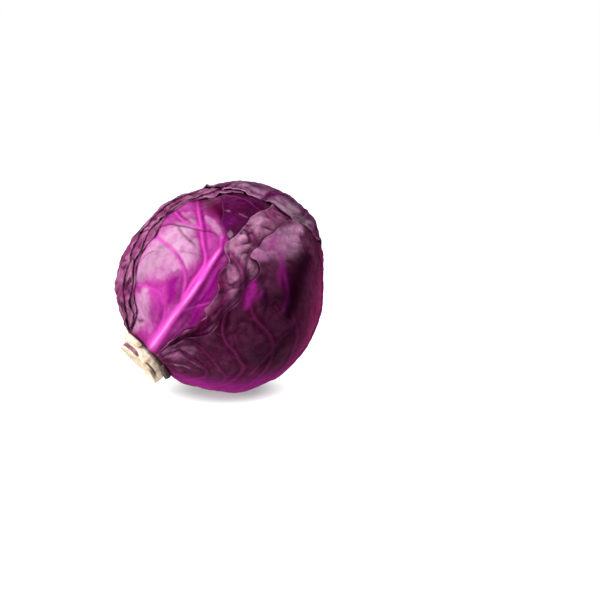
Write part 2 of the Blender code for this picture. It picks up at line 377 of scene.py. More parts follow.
describe(
    "leaf_crown",
    layer=2, finish="plum", seed=22, rib=(4.0, 2.0, 3.2, 0.5), attach=78.7, vein=0.5, puff=0.3,
    blister=(12, 0.5), crinkle=0.1, ruffle=0.2, curl=0.3, wander=(0.4, 1.2), wrinkle=0.4, rim=0.15,
    haze=0.02, twigs=0.0, cord=1.1,
    left=((14, 182), (60, 152), (100, 127), (124, 95), (132, 73), (127, 55), (122.5, 46), (116, 34.6),
        (110, 27.6), (107.5, 22), (104.8, 15)),
    middle=((14, 196), (60, 192), (100, 190), (140, 185), (175, 180), (160, -12), (130, -2), (108, 4)),
    right=((14, 210), (60, 235), (100, 250), (130, 270), (138, 305), (125, 330), (112, -16), (108, -4)),
    veins=(((124, 57), (127, 52), (129.3, 47.5), (132, 41), (133.6, 34), (133.4, 26), (134, 20)),),
    glow=((((108, 22), (112.3, 25), (117.3, 23.8)), 4.5, 0.9),),
    # painted glints
    sheen=(
        (((106, 16), (109, 19)), 2.5, 0.8),
        (((118, 35), (119.6, 31)), 1.1, 0.5),
        (((121.6, 26.5), (123.4, 20)), 0.9, 0.45),
        (((112, 26), (113.4, 22)), 0.9, 0.35),
    ),
)

describe(
    "leaf_left_inner",
    layer=3, seed=33, rib=(4.5, 1.6, 3.2, 1.0), attach=78.9, vein=1.0, pairs=7, puff=0.8,
    blister=(6.5, 0.9), crinkle=0.22, ruffle=0.35, curl=0.2, wander=(1.8, 0.5), wrinkle=0.5, creased=0.95,
    left=((15, 150), (60, 182), (100, 185), (140, 165)),
    middle=((15, 106), (60, 122), (100, 124), (143, 113)),
    right=((14, 84), (18, 76), (21, 71), (27, 59), (32.5, 52), (38, 53.2), (44, 55.7), (50, 57), (55, 59),
        (63, 62), (71, 61.5), (77, 60), (82, 60.5), (89, 64), (95, 66.3), (101, 67), (108, 69), (114, 68),
        (122, 62), (130, 54), (138, 48)),
)

describe(
    "leaf_right_inner",
    layer=3, seed=44, spacing=1.05, rib=(4.0, 1.6, 2.6, 0.6), attach=79.0, vein=0.5, pairs=5, puff=0.5,
    blister=(12, 2.4), crinkle=0.14, creased=0.95, ruffle=0.5, curl=0.9, wander=(0.45, 1.5), wrinkle=0.9,
    haze=0.75, rim=0.45, edge=2.6, edge_shade=0.85, bold=(1.4, 1.0),
    left=((13.5, -10), (20.6, -6.8), (33, -5.4), (42, -6.1), (48.5, -7.5), (53, -10.3), (59, -8.7),
        (63.3, -8.8), (64.8, -4.8), (68.5, -5.1), (74, -4.4), (78.5, -2.2), (81.2, 1.4), (84.8, 3.8),
        (88, 4.6), (92.5, 4.4), (95.5, 6.5), (96.8, 10.6), (100, 13.9), (104.5, 13.2), (112.5, 14.5),
        (119.5, 15.6), (127, 16.9), (134.3, 17.6), (141, 18.5), (150, 25), (160, 35)),
    middle=((14, -38), (60, -42), (110, -40), (168, -30)),
    right=((14, -62), (60, -92), (110, -95), (165, -82)),
    veins=(((135.4, 15.9), (135.4, 7.7), (138.7, 0.8)), ((141, 14), (146, 6), (150, -6))),
    ridges=(
        (((101.5, 7), (99.6, 4), (99.6, 1.5), (102, 0.4), (105, 1)), 1.0, 1.1),
        (((78, -3), (84, -4), (90.5, -5.9), (93.5, -1), (95.5, 2.5)), 0.9, 1.2),
    ),
    # painted shadow in the gaps beside the outer leaf's edges
    gloom=(
        (((98, -6), (94, -9), (88, -12)), 3, 0.9),
        (((120, 6), (118, 2)), 2, 0.6),
        (((54, -14.5), (64, -14.5), (72, -12.5), (84, -11.8), (90, -9.5), (97, -9.5)), 3.0, 0.85),
        (((24, -7.4), (34, -7.4), (44, -9.6), (54, -14)), 1.8, 0.7),
        (((98, -9), (102, -8), (103.5, -4), (107, 1.6), (114, 2), (119, 4)), 1.6, 0.7),
    ),
    # painted shade over the leaf's lower part, lit less than its upper part
    ember=(
        (((88, 3), (84.1, 1), (80, -4)), 6, 0.85),
        (((76, -8), (66, -10), (52, -10), (36, -8)), 9, 0.9),
    ),
    # painted highlights, where light from above falls on the upper part
    sheen=(
        (((108.4, 11), (118.3, 12), (128.7, 13)), 6.5, 1.0),
        (((101, 5), (97, 0)), 5, 0.9),
        (((20, -9), (30, -7), (40, -8), (50, -10)), 4, 0.6),
        (((97, 1), (91, -3), (85, -6)), 4, 0.6),
        (((112, 3), (106, -2)), 4, 0.6),
    ),
    creases=(
        (((106, 1), (102, -1.8), (97.5, -5), (94, -7)), 1.0, 1.0),
        (((90, 3.5), (86, -1), (84.5, -6), (88, -9)), 0.8, 1.0),
        (((64, -12), (70, -11), (77, -10.5)), 0.7, 1.1),
    ),
)

describe(
    "leaf_left_middle",
    layer=4, seed=55, rib=(4.5, 1.6, 3.2, 1.0), attach=79.1, vein=1.0, pairs=7, puff=0.8,
    blister=(6.5, 1.0), crinkle=0.24, ruffle=0.3, curl=0.1, hug=1.0, wander=(1.8, 0.6), wrinkle=0.6,
    creased=0.95,
    left=((14.5, 160), (60, 195), (100, 199), (142, 182)),
    middle=((14.5, 122), (60, 135), (100, 138), (146, 128)),
    right=((14, 112), (24, 66), (28, 61), (33, 59.3), (38, 59.3), (44, 57.8), (50, 58.3), (57, 62),
        (61, 65), (68, 66), (79, 67), (88, 65.5), (95, 66.3), (103, 68), (114, 70), (126, 68), (141, 73)),
)

describe(
    "leaf_right_outer",
    layer=4, finish="night", seed=66, rib=(5.0, 1.8, 3.4, 1.0), attach=79.2, vein=1.2, puff=0.9,
    blister=(11, 0.8), crinkle=0.1, ruffle=0.5, curl=0.9, wander=(0.4, 1.8), wrinkle=1.1, haze=0.15,
    rim=0.4, bold=(1.0, 1.2, 1.2, 0.8, 0.7, 0.6, 0.6, 1.0, 1.0, 1.0, 1.0, 1.0),
    left=((13.2, -22), (18, -12), (24, -8.8), (32, -8.7), (40, -10.6), (46.5, -12.5), (53, -16.9),
        (59, -17.9), (64, -17.3), (68.6, -15.3), (76, -14.5), (82.8, -14.2), (88, -12.4), (93, -11.7),
        (97, -12.4), (101, -11.8), (104.2, -9), (105.3, -5.3), (104.4, -1.7), (108, -0.6), (113.2, -1.2),
        (116, 0.3), (119.5, 1), (124.5, -0.6), (130.4, -0.7), (137, -0.7), (143.5, -1.2)),
    middle=((14.5, -88), (60, -84), (110, -80), (152, -40)),
    right=((14.5, -142), (50, -151), (90, -153), (130, -148), (156, -100)),
    # painted shade over the leaf's right side, dark where little light reaches it
    gloom=(
        (((98, -42), (110, -34), (122, -31), (134, -34)), 14, 1.0),
        (((70, -58), (86, -54), (98, -52)), 9, 0.6),
        (((97, -20), (90, -25)), 4, 0.6),
        (((118, -19), (123, -28), (129, -33), (136, -36)), 4, 0.8),
    ),
    # painted rim light along the right edge
    ember=((((146, -66), (132, -68), (118, -70), (104, -74), (90, -80)), 20, 0.65),),
    # painted highlights: the right softbox's reflection, thin glints, and a faint pale patch near the base
    sheen=(
        (((103, -2), (114, -4), (124, -9), (134, -13), (145, -14)), 14, 1.0),
        (((24, -13), (30, -15), (35, -24)), 1.3, 0.6),
        (((22, -32), (28, -35), (33, -40)), 1.3, 0.7),
        (((36, -30), (39, -37), (41, -45)), 1.1, 0.7),
        (((49, -41), (49, -51)), 1.0, 0.6),
        (((24, -14), (34, -20), (44, -22)), 8, 0.5),
    ),
    veins=(
        ((34, -88), (46, -72), (60.5, -54), (62, -45), (62.6, -38), (62.3, -29), (64.4, -22),
            (68.7, -17.3), (72, -15)),
        ((52, -85), (66, -70), (75, -60), (82, -48), (82.8, -38), (82.3, -28), (84.8, -20.6), (88, -14)),
        ((74, -83), (86, -72), (96.5, -57), (100, -43), (103.6, -35.6), (109.5, -25.4)),
        ((98, -81), (112, -68), (124, -52), (134, -35), (141, -22)),
        ((22, -88), (30, -66), (38.6, -55.6), (42, -46), (40.5, -36.5), (38.3, -27.7), (36.1, -17.8)),
        ((62, -62), (74, -54), (86, -50), (95.7, -52), (96, -44), (94.6, -37), (95.4, -30)),
        ((36, -84), (48, -62), (50, -50), (49, -36), (48, -26), (47, -19)),
        ((34, -88), (46, -104), (60, -122), (68, -140)),
        ((54, -85), (66, -100), (80, -120), (88, -144)),
        ((76, -83), (88, -98), (102, -118), (110, -140)),
        ((98, -81), (110, -96), (124, -114), (132, -138)),
        ((120, -76), (132, -90), (142, -106), (150, -122)),
    ),
    creases=(
        (((22, -14), (30, -16.5), (35, -18), (38, -24)), 1.2, 1.3),
        (((28, -12), (38, -14), (46, -18)), 0.7, 1.0),
        (((96, -22), (92, -27), (86, -31)), 0.9, 1.3),
        (((74, -22), (78, -26), (80, -31)), 0.7, 1.3),
    ),
    glow=(
        (((96, -12), (91.6, -15), (87.2, -17.2), (82, -20)), 4.2, 0.9),
        (((95, -20), (90, -20)), 2.5, 0.7),
        (((118, -12), (115, -18), (111, -23.5), (108, -28), (103, -34), (96, -37)), 2.6, 0.7),
        (((113, -18), (109, -21), (104, -25)), 2.6, 0.5),
        (((127, -3), (121, -5), (115, -7)), 3, 0.55),
        (((133, -10), (126, -14), (119, -18)), 1.5, 0.45),
        # the last two lines paint bounce light from the floor along the leaf's bottom, on top of the
        # floor's own bounce
        (((16, -75), (30, -76), (50, -82), (75, -86), (95, -84)), 17, 0.8),
        (((70, -86), (95, -86), (120, -80), (138, -70)), 20, 0.4),
    ),
)

describe(
    "leaf_left_outer",
    layer=5, seed=77, rib=(4.5, 1.8, 3.6, 1.2), attach=79.3, vein=1.1, pairs=7, puff=0.9,
    blister=(6.5, 1.1), crinkle=0.24, ruffle=0.3, curl=0.1, hug=1.0, wander=(1.8, 0.8), wrinkle=0.7,
    creased=0.95,
    left=((14.5, 180), (55, 206), (100, 211), (130, 190)),
    middle=((14.5, 140), (60, 147), (100, 148), (134, 138)),
    right=((14.5, 104), (24, 78), (36, 68), (46, 68), (56, 68), (66, 73), (76, 74), (90, 73), (104, 75),
        (118, 80), (130, 92)),
)

describe(
    "leaf_back",
    layer=6, finish="plum", seed=88, spacing=1.15, taper=0.55, cord=1.8, rib=(4.8, 1.8, 4.0, 0.6),
    attach=79.4, vein=1.2, pairs=8, puff=0.9, blister=(12, 0.8), crinkle=0.12, ruffle=0.3, curl=0.3,
    wander=(1.0, 1.0), wrinkle=0.6, rim=0.9, haze=0.55, bold=(0.5, 0.4),
    left=((13.4, 165), (60, 146), (100, 128), (122, 102), (129, 78), (131.5, 61), (137, 48)),
    middle=((13.4, 184), (60, 180), (100, 178), (140, 176), (172, 170), (168, 40), (152, 34),
        (143.5, 28)),
    right=((13.4, 202), (55, 210), (100, 226), (130, 245), (149, 272), (155, 300), (153, 326),
        (150.3, 355), (147, 12)),
    veins=(
        ((159, 296), (157, 326), (154, 355), (150.5, 14), (146.5, 32), (140, 50)),
        ((165, 290), (163, 326), (159, 355), (155, 16), (151, 36)),
    ),
    # painted highlight along the top margin
    sheen=((((139, 54), (146, 34), (150, 14), (153, -8), (156, -34)), 9.0, 1.0),),
)

# How far relief fades under a leaf that covers it, and what stays of it there
COVER_OUT = 4.0
COVER_IN = 3.0
COVERED_SHARE = 0.12
LOWEST_RELIEF = -1.2

# How deep the blades and the heart lie in their layers, how a leaf's base meets the stump, and
# the room that a leaf leaves over the ones under it
INSET = 0.8
HEART_GAP = 2.0
BASE_REACH = 76.0
BASE_BLEND = 11.0
BASE_DROP = 4.2
LEAF_GAP = 0.15
FAR_OUT = 120.0
LOWEST_LEAF = 30.0

# How far each effect reaches from the margin or from the base
WANDER_REACH = 9.0
BLISTER_REACH = 24.0
SETTLE_REACH = 11.0
HUG_REACH = 12.0
LIP_REACH = 3.2
RUFFLE_REACH = 5.5
RIM_REACH = 0.7
EDGE_SETTLE = (-10, -2)
WRINKLE_REACH = 24.0
STUMP_REACH = 12.0
BASE_SHADE_REACH = 3.5
BASE_TINT_REACH = 9.0

# Where, from the base, an effect begins and where it is full
WANDER_START = (10, 34)
SETTLE_START = (8, 26)
LIP_START = (4, 24)
SHARED_START = (6, 30)
PUSH_START = (8, 22)

# Veins and their short branches
TWIGS = 4
TWIG_WIDTH = 1.1
VEIN_STEPS = 22
PANEL_EDGE = (0.5, 8.0)
CREASE_SHADE = 0.8
SMOOTH_ANGLE = 55


def side_veins(blade, pairs, seed):
    """Pairs of side veins that leave the midrib, sweep towards the tip and wander a little."""
    random = np.random.default_rng(seed + 40)
    share = np.linspace(0.0, 1.0, VEIN_STEPS)
    veins = []
    for index in range(pairs):
        for side in (-1, 1):
            start = 0.07 + 0.80 * (index / pairs) ** 0.92 + 0.022 * side + random.uniform(-0.014, 0.014)
            sweep = (0.20 - 0.07 * index / pairs) * random.uniform(0.8, 1.25)
            bend = 0.010 * np.sin(share * random.uniform(5, 9) + random.uniform(0, 6)) * share
            veins.append(blade.at(side * 0.94 * share, start + sweep * share**1.25 + bend) * MEAN_RADIUS)
    return veins


def branches(line, seed):
    """Short veins that leave a side vein on alternate sides."""
    random = np.random.default_rng(seed)
    made = []
    for index in range(TWIGS):
        start = int((0.25 + 0.6 * index / TWIGS) * (len(line) - 1))
        step = unit(line[min(start + 1, len(line) - 1)] - line[start])
        out = unit(line[start])
        side = np.cross(out, step) * (1 if index % 2 else -1)
        reach = random.uniform(9, 15)
        t = np.linspace(0, 1, 6)[:, None]
        made.append(line[start] + (step * 0.75 * t + side * 0.7 * t**1.2) * reach)
    return made


def add_primitive(name, add, **values):
    """Adds a primitive with nothing else selected, and names it."""
    bpy.ops.object.select_all(action="DESELECT")
    add(**values)
    thing = bpy.context.object
    thing.name = name
    return thing


def add_grid(name, columns, rows):
    """A flat grid, ready to be wrapped."""
    thing = add_primitive(name, bpy.ops.mesh.primitive_grid_add, x_subdivisions=columns,
                          y_subdivisions=rows, size=2)
    thing.data.name = name
    return thing


def edit_all(change, **values):
    """Runs one edit-mode operator on the whole of the active mesh."""
    bpy.ops.object.mode_set(mode="EDIT")
    bpy.ops.mesh.select_all(action="SELECT")
    change(**values)
    bpy.ops.object.mode_set(mode="OBJECT")


def read_vertices(thing):
    """The places of a mesh's vertices, as they are."""
    places = np.zeros(len(thing.data.vertices) * 3, np.float32)
    thing.data.vertices.foreach_get("co", places)
    return places.reshape(-1, 3).astype(float)


def place_vertices(thing, points):
    """Writes new places, given in millimetres, into a mesh."""
    thing.data.vertices.foreach_set("co", (points * MM).astype(np.float32).ravel())
    thing.data.update()


def mark(thing, name, values):
    """Stores a value for each vertex, for the materials to read."""
    layer = thing.data.attributes.new(name, "FLOAT", "POINT")
    layer.data.foreach_set("value", np.clip(values, 0, 1).astype(np.float32).ravel())


def face_outwards(thing):
    """Turns the faces outwards where a wrapped grid came out inside out."""
    face = thing.data.polygons[len(thing.data.polygons) // 2]
    if np.dot(face.normal, np.array(face.center) - CENTRE * MM) < 0:
        edit_all(bpy.ops.mesh.flip_normals)


def meet_stump(ways, from_base):
    """Draws the rows near the base in or out, so that the base runs round the stump's neck."""
    theta = np.degrees(np.arccos(np.clip(ways @ STEM, -1, 1)))
    lam = np.arctan2(ways @ UPPER_LEFT, ways @ FRONT)
    neck = NECK_RADIUS + 0.4 + STUMP_SHIFT * np.sin(lam[0])
    goal = np.degrees(np.arcsin(neck / BASE_REACH))
    theta = theta + (goal - theta[0]) * np.exp(-from_base / STUMP_REACH)
    return direction(theta, np.degrees(lam))


def cords(flat, lines, start_width, taper, strength, best, nearest, marks):
    """Raises rounded ridges along lines. Each one is as bold as its number says."""
    for line, bold in lines:
        gap, share = distance_to_line(flat, line)
        width = start_width * (0.6 + 0.4 * bold) * (1 - taper * share)
        ridge = hump(gap, width, 2.2) * (1 - 1.4 * taper * share) * strength * bold
        best = np.maximum(best, ridge)
        marks = np.maximum(marks, hump(gap, width * 0.85) * (1 - 0.9 * taper * share)
                           * min(0.66, strength * bold))
        nearest = np.minimum(nearest, gap + 5 * (1 - min(1.0, strength * bold)))
    return best, nearest, marks


def fade_ends(share):
    """One along a line's middle, less at its ends."""
    return np.sin(math.pi * np.clip(share, 0.03, 0.97)) ** 0.4


def streaks(flat, places, power=2):
    """Soft streaks, each along (theta, lam) points with a reach in millimetres and a strength."""
    total = np.zeros(len(flat))
    for points, reach, strength in places:
        gap, share = distance_to_line(flat, line_on_head(points))
        width = reach * (0.35 + 0.65 * np.sin(math.pi * np.clip(share, 0.02, 0.98)))
        total = np.maximum(total, strength * hump(gap, width, power))
    return total


class Pile:
    """The leaves made so far, to tell how far out they reach in any direction."""

    def __init__(self):
        self.points = np.zeros((0, 3))
        self.faces = np.zeros((0, 4), int)
        self.tree = None

    def add(self, points, columns):
        index = np.arange(len(points)).reshape(-1, columns) + len(self.points)
        faces = np.stack((index[:-1, :-1], index[:-1, 1:], index[1:, 1:], index[1:, :-1]), -1)
        self.points = np.vstack((self.points, points))
        self.faces = np.vstack((self.faces, faces.reshape(-1, 4)))
        self.tree = BVHTree.FromPolygons(self.points.tolist(), self.faces.tolist())

    def reach(self, ways):
        """Distance from the centre to the outermost leaf so far, or zero where there is none."""
        found = np.zeros(len(ways))
        if self.tree is None:
            return found
        for index, way in enumerate(ways.tolist()):
            way = Vector(way)
            hit = self.tree.ray_cast(way * FAR_OUT, -way, FAR_OUT - LOWEST_LEAF)
            if hit[3] is not None:
                found[index] = FAR_OUT - hit[3]
        return found


def soften(values, columns, rounds):
    """Averages each value with its neighbours on the grid."""
    grid = values.reshape(-1, columns)
    for _ in range(rounds):
        padded = np.pad(grid, 1, mode="edge")
        grid = (padded[:-2, 1:-1] + padded[2:, 1:-1] + padded[1:-1, :-2] + padded[1:-1, 2:] + grid) / 5
    return grid.ravel()


def wander(ways, details, from_base, to_tip, from_left, to_right):
    """Lets the margins wander in the leaf's own surface."""
    start = ways * MEAN_RADIUS
    right_way = unit(np.gradient(start, axis=1))
    tip_way = unit(np.gradient(start, axis=0))
    left_amount, right_amount = details["wander"]
    amount = (left_amount * np.exp(-from_left / WANDER_REACH)
              + right_amount * np.exp(-to_right / WANDER_REACH)) * smooth_step(*WANDER_START, from_base)
    tip_amount = right_amount * np.exp(-to_tip / WANDER_REACH)
    sway = 0.75 * ripple(start, 30, details["seed"]) + 0.45 * ripple(start, 12, details["seed"] + 1)
    return unit(start + right_way * (sway * amount)[..., None] + tip_way * (sway * tip_amount)[..., None])


class Places:
    """Where a leaf's vertices lie, and how far each is from the base, the tip and the margins."""

    def __init__(self, blade, details):
        ways = blade.ways
        self.columns = ways.shape[1]
        tall = np.linalg.norm(np.diff(ways, axis=0), axis=-1) * MEAN_RADIUS
        wide = np.linalg.norm(np.diff(ways, axis=1), axis=-1) * MEAN_RADIUS
        from_base = np.vstack((np.zeros(self.columns), np.cumsum(tall, axis=0)))
        to_tip = from_base[-1] - from_base
        from_left = np.hstack((np.zeros((len(ways), 1)), np.cumsum(wide, axis=1)))
        to_right = from_left[:, -1:] - from_left
        ways = wander(meet_stump(ways, from_base), details, from_base, to_tip, from_left, to_right)
        self.ways = ways.reshape(-1, 3)
        self.flat = self.ways * MEAN_RADIUS
        self.along = blade.along.ravel()
        self.from_base = from_base.ravel()
        self.to_right = to_right.ravel()
        self.sideways = (from_left - from_left[:, blade.half:blade.half + 1]).ravel()
        self.margin = np.minimum(np.minimum(from_left, to_right), to_tip).ravel()


def midrib(details, sideways, along):
    """The midrib's width, height, rounded profile and mark."""
    base_width, tip_width, base_height, tip_height = details["rib"]
    width = tip_width + (base_width - tip_width) * np.exp(-along / 0.35)
    height = tip_height + (base_height - tip_height) * np.exp(-along / 0.5)
    before_end = 1 - smooth_step(details["rib_end"] - 0.08, details["rib_end"], along)
    marked = width * np.where(sideways > 0, details["flank"], 1.0)
    rib_mark = hump(sideways, marked, 3) * (1 - 0.3 * along) * before_end
    return width, height * before_end, hump(sideways, width, 2.3), rib_mark


def side_relief(details, blade, flat, sideways):
    """Side veins with their branches, and the panels that swell between them."""
    lines = [line_on_head(points) for points in details["veins"]]
    bold = list(details["bold"]) or [1.0] * len(lines)
    grown = side_veins(blade, details["pairs"], details["seed"])
    lines, bold = lines + grown, bold + [1.0] * len(grown)
    twigs = [(twig, 1.0) for index, line in enumerate(lines)
             for twig in branches(line, details["seed"] * 100 + index)]
    nothing = np.zeros(len(flat))
    state = nothing, np.abs(sideways), nothing
    state = cords(flat, list(zip(lines, bold)), details["cord"], details["taper"], 1.0, *state)
    ridges, nearest, marks = cords(flat, twigs, TWIG_WIDTH, 0.5, details["twigs"], *state)
    panel = smooth_step(*PANEL_EDGE, nearest)
    return details["vein"] * ridges + details["puff"] * (panel - 0.5), panel, marks


def blisters(details, flat, margin):
    """Blisters with narrow valleys between them, boldest towards the margin, and their shade."""
    spacing, height = details["blister"]
    wall, value = cells(flat, spacing, details["seed"])
    sharp = smooth_step(-0.9, 0.9, ripple(flat, spacing * 2.2, details["seed"] + 8))
    dome = (1 - (0.25 + 0.75 * sharp) * hump(wall, 0.14 * spacing, 1.4)) * (0.4 + 0.6 * value)
    dome = 0.75 * dome + 0.25 * smooth_step(0, spacing * 0.5, wall)
    height = height * (0.3 + 0.7 * hump(margin, BLISTER_REACH))
    walls = details["creased"] * sharp * (1 - smooth_step(0, 1.5, wall))
    return dome, height, walls * np.minimum(1.0, height)


def neighbours(name, details, blades, ways):
    """Where outer leaves cover this one, the shade of their edges, and the layer under it."""
    covered, edge_shade, under = np.zeros((3, len(ways)))
    for other, other_details in LEAVES.items():
        if other == name:
            continue
        cover = blades[other]
        inside = depth_inside(ways, cover.outline(), unit(cover.ways.reshape(-1, 3).mean(0)))
        if other_details["layer"] > details["layer"]:
            covered = np.maximum(covered, smooth_step(-COVER_OUT, COVER_IN, inside))
            edge_shade = np.maximum(edge_shade, np.exp(-np.maximum(-inside, 0) / details["edge"]))
        elif other_details["layer"] < details["layer"]:
            under = np.maximum(under, other_details["layer"] * smooth_step(*EDGE_SETTLE, inside))
    return covered, edge_shade, under


def add_wrinkles(details, place, relief, shade, rib_line):
    """Wrinkles that run out from the stump, with painted shade in their depth, and a fine crinkle all
    over.
    """
    seed, flat = details["seed"], place.flat
    near_base = np.exp(-place.from_base / WRINKLE_REACH)
    radial = np.degrees(np.arctan2(place.ways @ UPPER_LEFT, place.ways @ FRONT))
    fan = np.stack((radial, place.from_base * 0.2, np.zeros(len(flat))), -1)
    folds = np.abs(ripple(fan, 12.0, seed + 5))
    relief += details["wrinkle"] * near_base * (1 - rib_line) * (0.9 - 1.5 * hump(folds, 0.3))
    relief += details["crinkle"] * (ripple(flat, 7.0, seed + 6) + 0.5 * ripple(flat, 3.4, seed + 7))
    dark = 0.6 * near_base * hump(folds, 0.2) * min(1.0, details["wrinkle"])
    return relief, np.maximum(shade, dark)


def add_creases(details, flat, relief, shade):
    """Creases, with painted shade in their depth, raised beside it, and rolled ridges."""
    for points, depth, width in details["creases"]:
        gap, share = distance_to_line(flat, line_on_head(points))
        valley = hump(gap, width) * fade_ends(share)
        relief -= depth * valley
        relief += 0.4 * depth * hump(gap - 2.6 * width, 1.4 * width) * fade_ends(share)
        shade = np.maximum(shade, CREASE_SHADE * min(1.0, depth) * valley)
    for points, rise, width in details["ridges"]:
        gap, share = distance_to_line(flat, line_on_head(points))
        relief += rise * hump(gap, width) * fade_ends(share)
    return relief, shade


def raise_margin(details, place, relief, covered):
    """Lets the margin lift here and there, and ruffle."""
    seed, past_base = details["seed"], smooth_step(*LIP_START, place.from_base)
    lip = hump(place.margin, LIP_REACH) * (1 - 0.8 * covered) * past_base
    lift = smooth_step(-1.2, 1.6, ripple(place.flat, 26, seed + 9))
    relief += lip * details["curl"] * (0.25 + 1.2 * lift)
    ruffle = hump(place.margin, RUFFLE_REACH) * (1 - covered) * past_base
    return relief + ruffle * details["ruffle"] * ripple(place.flat, 13, seed + 10)


def leaf_radius(details, place, relief, under, pile):
    """Each vertex's distance from the head's centre, clear of the leaves under it."""
    ways, flat, from_base, layer = place.ways, place.flat, place.from_base, details["layer"]
    # the margin settles on the leaves under it
    past_base = smooth_step(*SETTLE_START, from_base)
    step = (layer - under) * LEAF_PITCH - BLADE - 0.1
    settle = np.maximum(step, 0) * hump(place.margin, SETTLE_REACH) * past_base
    # all leaves share the head's own broad unevenness, so none cuts through the next
    shared = 0.7 * ripple(flat, 60, 3) + 0.3 * ripple(flat, 28, 4)
    radius = layer_radius(ways, layer) - settle - INSET + shared * smooth_step(*SHARED_START, from_base)
    # some right margins lie close on the leaf under them
    clear = pile.reach(ways)
    clear = np.where(clear > 0, clear + BLADE + LEAF_GAP, 0.0)
    above = np.where(clear > 0, np.maximum(radius - clear, 0), 0.0)
    hug = details["hug"] * hump(place.to_right, HUG_REACH)
    radius -= soften(above, place.columns, 6) * hug * past_base
    # the base climbs the stump's neck
    climb = hump(from_base, BASE_BLEND)
    goal = (details["attach"] - BASE_DROP) / (ways @ STEM).clip(0.5)
    radius += (goal - radius) * climb + relief * (1 - 0.75 * climb)
    # no leaf dips through the one under it, or through the floor
    push = np.maximum(clear - radius, 0) * smooth_step(*PUSH_START, from_base)
    radius += np.maximum(push, soften(push, place.columns, 3))
    floor = (CENTRE_HEIGHT - FLOOR_CLEAR) / np.maximum(-ways[:, 2], 1e-6)
    return np.minimum(radius, np.where(ways[:, 2] < 0, floor, np.inf))


def skin_marks(details, place, rib_width, rib_mark, dome, panel, bare):
    """Where the skin has a pale rim, wax film, gloss and patches of other colours, with painted
    highlights, shade and light.
    """
    seed, flat = details["seed"], place.flat
    broken = smooth_step(-0.4, 1.2, ripple(flat, 16, seed + 13))
    # a highlight painted along the midrib's lit side, carried by the pale rim mark
    crest = hump(place.sideways + 0.22 * rib_width, 0.22 * rib_width) * rib_mark
    crest = crest * details["crest"] * smooth_step(-1.4, 1.0, ripple(flat, 26, seed + 14))
    # painted highlights, in the wax colour and with a stronger coat, kept off the midrib
    sheen = streaks(flat, details["sheen"], 3) * (1 - rib_mark)
    haze = details["haze"] * (0.35 + 0.65 * dome) * smooth_step(0.1, 0.9, panel) * (1 - rib_mark)
    glow, ember = (streaks(flat, details[key]) for key in ("glow", "ember"))
    return {
        "rim": np.maximum(details["rim"] * broken * hump(place.margin, RIM_REACH), crest),
        "bloom": bare * np.maximum(haze, sheen * smooth_step(0.05, 0.7, panel)),
        "gloss": np.maximum(sheen, 0.4 * haze) * (1 - 0.75 * np.maximum(glow, ember)),
        "glow": glow,
        "ember": ember,
        # painted shade, dark magenta, toward the stump, where the base sits in a crevice
        "base": hump(place.from_base, BASE_TINT_REACH),
    }


def thicken(leaf):
    """Gives a blade its thickness, inwards, and smooths its shading."""
    face_outwards(leaf)
    shell = leaf.modifiers.new("blade thickness", "SOLIDIFY")
    shell.thickness = BLADE * MM
    shell.offset = -1.0
    bpy.ops.object.modifier_apply(modifier=shell.name)
    bpy.ops.object.shade_smooth_by_angle(angle=math.radians(SMOOTH_ANGLE))


def make_leaf(name, details, blades, pile):
    """Wraps a grid on the leaf's layer, raises its relief and stores its marks."""
    blade = blades[name]
    place = Places(blade, details)
    rib_width, rib_height, rib_line, rib_mark = midrib(details, place.sideways, place.along)
    relief, panel, vein_mark = side_relief(details, blade, place.flat, place.sideways)
    dome, blister, shade = blisters(details, place.flat, place.margin)
    relief += blister * (dome - 0.45)
    relief = relief * (1 - 0.85 * rib_line) + rib_height * rib_line
    relief, shade = add_wrinkles(details, place, relief, shade, rib_line)
    relief, shade = add_creases(details, place.flat, relief, shade)

    # relief fades where an outer leaf lies on it, and its edge throws a shade
    covered, edge_shade, under = neighbours(name, details, blades, place.ways)
    bare = 1 - covered * (1 - COVERED_SHARE)
    relief = np.maximum(relief, LOWEST_RELIEF) * bare
    shade = np.maximum(shade * bare, details["edge_shade"] * edge_shade)
    shade = np.maximum(shade, streaks(place.flat, details["gloom"]))
    shade = np.maximum(shade, 0.9 * hump(place.from_base, BASE_SHADE_REACH))
    relief = raise_margin(details, place, relief, covered)
    points = place.ways * leaf_radius(details, place, relief, under, pile)[:, None]
    pile.add(points, place.columns)

    leaf = add_grid(name + "_blade", 2 * blade.half, blade.rows)
    place_vertices(leaf, CENTRE + points)
    marks = skin_marks(details, place, rib_width, rib_mark, dome, panel, bare)
    marks.update(vein=np.maximum(vein_mark, rib_mark), shade=shade)
    for key, values in marks.items():
        mark(leaf, key, values)
    thicken(leaf)
    return leaf


# Colours of a leaf's painted shade near its base and in its creases, then of the stump's wood and skin,
# and of the painted shade in its gaps
BASE_TINT = (0.13, 0.012, 0.055)
CREASE_TINT = (0.014, 0.0, 0.007)
WOOD = ((0.90, 0.76, 0.58), (0.72, 0.55, 0.38))
FIBRE = (0.36, 0.22, 0.11)
CUT_FACE = (0.61, 0.50, 0.35)
BROWN = (0.34, 0.19, 0.10)
SCAR_SKIN = ((0.11, 0.03, 0.06), (0.26, 0.12, 0.17))
GAP = (0.02, 0.004, 0.008)
WHITE = (1.0, 1.0, 1.0, 1.0)


def new_material(name):
    material = bpy.data.materials.new(name)
    material.use_nodes = True
    return material, material.node_tree, material.node_tree.nodes["Principled BSDF"]


def feed(tree, sockets, values):
    """Links each value to its socket, or sets it there where it's a number or a colour."""
    for socket, value in zip(sockets, values):
        if isinstance(value, bpy.types.NodeSocket):
            tree.links.new(value, socket)
        else:
            socket.default_value = (*value, 1.0) if isinstance(value, tuple) else value


